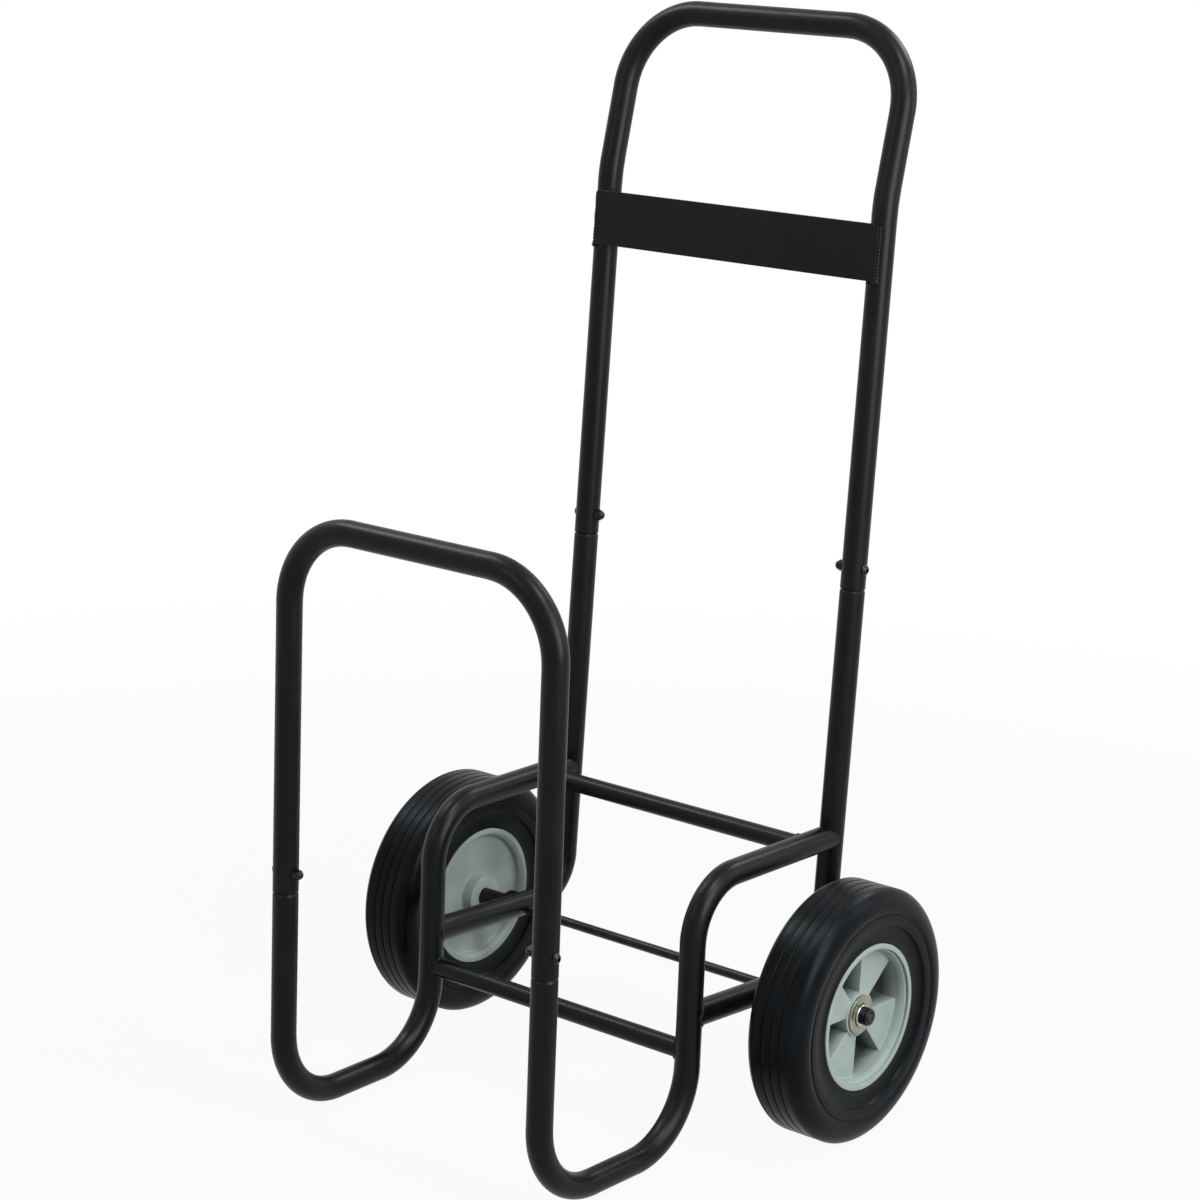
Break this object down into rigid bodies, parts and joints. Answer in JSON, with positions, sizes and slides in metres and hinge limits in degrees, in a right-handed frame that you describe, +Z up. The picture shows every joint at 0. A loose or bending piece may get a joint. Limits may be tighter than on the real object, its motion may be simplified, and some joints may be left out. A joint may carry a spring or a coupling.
{
  "type": "fireside log cart",
  "caption": "Firewood cart with a bent round-tube cradle, a front hoop, a tall push handle with a flat plate, and solid tyres on wedge-spoke plastic hubs.",
  "frame": {"origin": "on the floor, under the middle of the whole cart", "axes": "+X across the cart to its right wheel, +Y from the front hoop towards the handle side, +Z up"},
  "size_m": [0.5618, 0.5248, 1.0691],
  "materials": {
    "powder_coat": "satin black powder coat",
    "black_steel": "black zinc plated steel, satin",
    "yellow_zinc": "pale yellow zinc plating",
    "bright_zinc": "bright zinc plating",
    "tyre_rubber": "matt moulded rubber with a faint blue-grey bloom",
    "hub_plastic": "satin moulded plastic, light grey-green",
    "bush_steel": "plain turned steel"
  },
  "bodies": {
    "frame": {"front_hoop": "powder_coat", "cradle_tube_left": "powder_coat", "cradle_tube_right": "powder_coat", "rear_post_left": "powder_coat", "rear_post_right": "powder_coat", "handle_hoop": "powder_coat", "handle_plate": "powder_coat", "base_cross_bar": "powder_coat", "shelf_cross_bar": "powder_coat", "front_joint_bolts": "black_steel", "front_joint_nuts": "black_steel", "rear_joint_bolts": "black_steel", "rear_joint_nuts": "black_steel", "shelf_bolts": "black_steel", "shelf_plugs": "black_steel", "axle": "black_steel", "inner_washers": "black_steel", "axle_spacers": "black_steel", "outer_washers": "yellow_zinc", "lock_washers": "bright_zinc", "axle_nuts": "black_steel"},
    "wheel_left": {"tyre_left": "tyre_rubber", "hub_left": "hub_plastic", "bush_left": "bush_steel"},
    "wheel_right": {"tyre_right": "tyre_rubber", "hub_right": "hub_plastic", "bush_right": "bush_steel"}
  },
  "joints": [
    {"name": "wheel_left_spin", "type": "hinge", "parent": "frame", "child": "wheel_left", "pos_m": [-0.2486, 0.10721, 0.127], "axis": [1, 0, 0], "continuous": true},
    {"name": "wheel_right_spin", "type": "hinge", "parent": "frame", "child": "wheel_right", "pos_m": [0.2486, 0.10721, 0.127], "axis": [1, 0, 0], "continuous": true}
  ]
}
